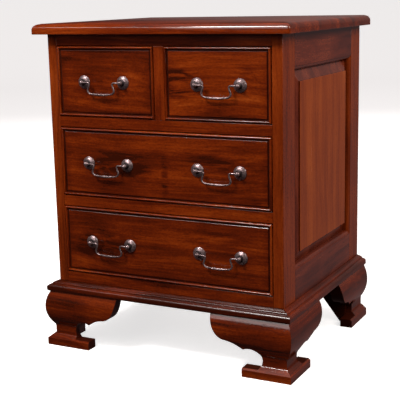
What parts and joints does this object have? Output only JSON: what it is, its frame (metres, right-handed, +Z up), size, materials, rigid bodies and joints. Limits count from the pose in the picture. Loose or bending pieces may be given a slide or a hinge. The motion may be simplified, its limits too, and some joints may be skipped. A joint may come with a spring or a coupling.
{
  "type": "chest of drawers",
  "caption": "Small mahogany chest with sliding drawers in a panelled case on ogee bracket feet, with swinging bail handles.",
  "frame": {"origin": "on the floor, in the middle of the bounding box", "axes": "+Z up, the drawers open towards -Y, +X to the right of someone facing the drawers"},
  "size_m": [0.399, 0.3274, 0.48],
  "materials": {
    "mahogany": "french-polished red-brown mahogany with dark figure",
    "drawer_lining": "plain unpolished wood",
    "old_pewter": "antiqued cast metal with a grey pewter tone"
  },
  "bodies": {
    "case": {"top_board": "mahogany", "side_frame_left": "mahogany", "side_frame_right": "mahogany", "side_panel_left": "mahogany", "side_panel_right": "mahogany", "rail_top": "mahogany", "rail_upper": "mahogany", "rail_lower": "mahogany", "rail_bottom": "mahogany", "muntin": "mahogany", "plinth_front": "mahogany", "plinth_left": "mahogany", "plinth_right": "mahogany", "foot_front_left": "mahogany", "foot_front_right": "mahogany", "foot_rear_left": "mahogany", "foot_rear_right": "mahogany", "back_panel": "drawer_lining", "bottom_board": "drawer_lining", "dust_board_lower": "drawer_lining", "dust_board_upper": "drawer_lining", "centre_guide": "drawer_lining"},
    "drawer_top_left": {"drawer_top_left_front": "mahogany", "drawer_top_left_side_left": "drawer_lining", "drawer_top_left_side_right": "drawer_lining", "drawer_top_left_back": "drawer_lining", "drawer_top_left_bottom": "drawer_lining", "post_top_left_left": "old_pewter", "post_top_left_right": "old_pewter"},
    "drawer_top_right": {"drawer_top_right_front": "mahogany", "drawer_top_right_side_left": "drawer_lining", "drawer_top_right_side_right": "drawer_lining", "drawer_top_right_back": "drawer_lining", "drawer_top_right_bottom": "drawer_lining", "post_top_right_left": "old_pewter", "post_top_right_right": "old_pewter"},
    "drawer_middle": {"drawer_middle_front": "mahogany", "drawer_middle_side_left": "drawer_lining", "drawer_middle_side_right": "drawer_lining", "drawer_middle_back": "drawer_lining", "drawer_middle_bottom": "drawer_lining", "post_middle_left_left": "old_pewter", "post_middle_left_right": "old_pewter", "post_middle_right_left": "old_pewter", "post_middle_right_right": "old_pewter"},
    "drawer_bottom": {"drawer_bottom_front": "mahogany", "drawer_bottom_side_left": "drawer_lining", "drawer_bottom_side_right": "drawer_lining", "drawer_bottom_back": "drawer_lining", "drawer_bottom_bottom": "drawer_lining", "post_bottom_left_left": "old_pewter", "post_bottom_left_right": "old_pewter", "post_bottom_right_left": "old_pewter", "post_bottom_right_right": "old_pewter"},
    "bail_top_left": {"bail_top_left": "old_pewter"},
    "bail_top_right": {"bail_top_right": "old_pewter"},
    "bail_middle_left": {"bail_middle_left": "old_pewter"},
    "bail_middle_right": {"bail_middle_right": "old_pewter"},
    "bail_bottom_left": {"bail_bottom_left": "old_pewter"},
    "bail_bottom_right": {"bail_bottom_right": "old_pewter"}
  },
  "joints": [
    {"name": "drawer_top_left_slide", "type": "slide", "parent": "case", "child": "drawer_top_left", "axis": [0, -1, 0], "range_m": [0, 0.2]},
    {"name": "drawer_top_right_slide", "type": "slide", "parent": "case", "child": "drawer_top_right", "axis": [0, -1, 0], "range_m": [0, 0.2]},
    {"name": "drawer_middle_slide", "type": "slide", "parent": "case", "child": "drawer_middle", "axis": [0, -1, 0], "range_m": [0, 0.2]},
    {"name": "drawer_bottom_slide", "type": "slide", "parent": "case", "child": "drawer_bottom", "axis": [0, -1, 0], "range_m": [0, 0.2]},
    {"name": "bail_top_left_swing", "type": "hinge", "parent": "drawer_top_left", "child": "bail_top_left", "pos_m": [-0.09, -0.15425, 0.3979], "axis": [-1, 0, 0], "range_deg": [-15, 195]},
    {"name": "bail_top_right_swing", "type": "hinge", "parent": "drawer_top_right", "child": "bail_top_right", "pos_m": [0.09, -0.15425, 0.3979], "axis": [-1, 0, 0], "range_deg": [-15, 195]},
    {"name": "bail_middle_left_swing", "type": "hinge", "parent": "drawer_middle", "child": "bail_middle_left", "pos_m": [-0.088, -0.15425, 0.2813], "axis": [-1, 0, 0], "range_deg": [-15, 195]},
    {"name": "bail_middle_right_swing", "type": "hinge", "parent": "drawer_middle", "child": "bail_middle_right", "pos_m": [0.088, -0.15425, 0.2813], "axis": [-1, 0, 0], "range_deg": [-15, 195]},
    {"name": "bail_bottom_left_swing", "type": "hinge", "parent": "drawer_bottom", "child": "bail_bottom_left", "pos_m": [-0.088, -0.15425, 0.164], "axis": [-1, 0, 0], "range_deg": [-15, 195]},
    {"name": "bail_bottom_right_swing", "type": "hinge", "parent": "drawer_bottom", "child": "bail_bottom_right", "pos_m": [0.088, -0.15425, 0.164], "axis": [-1, 0, 0], "range_deg": [-15, 195]}
  ]
}
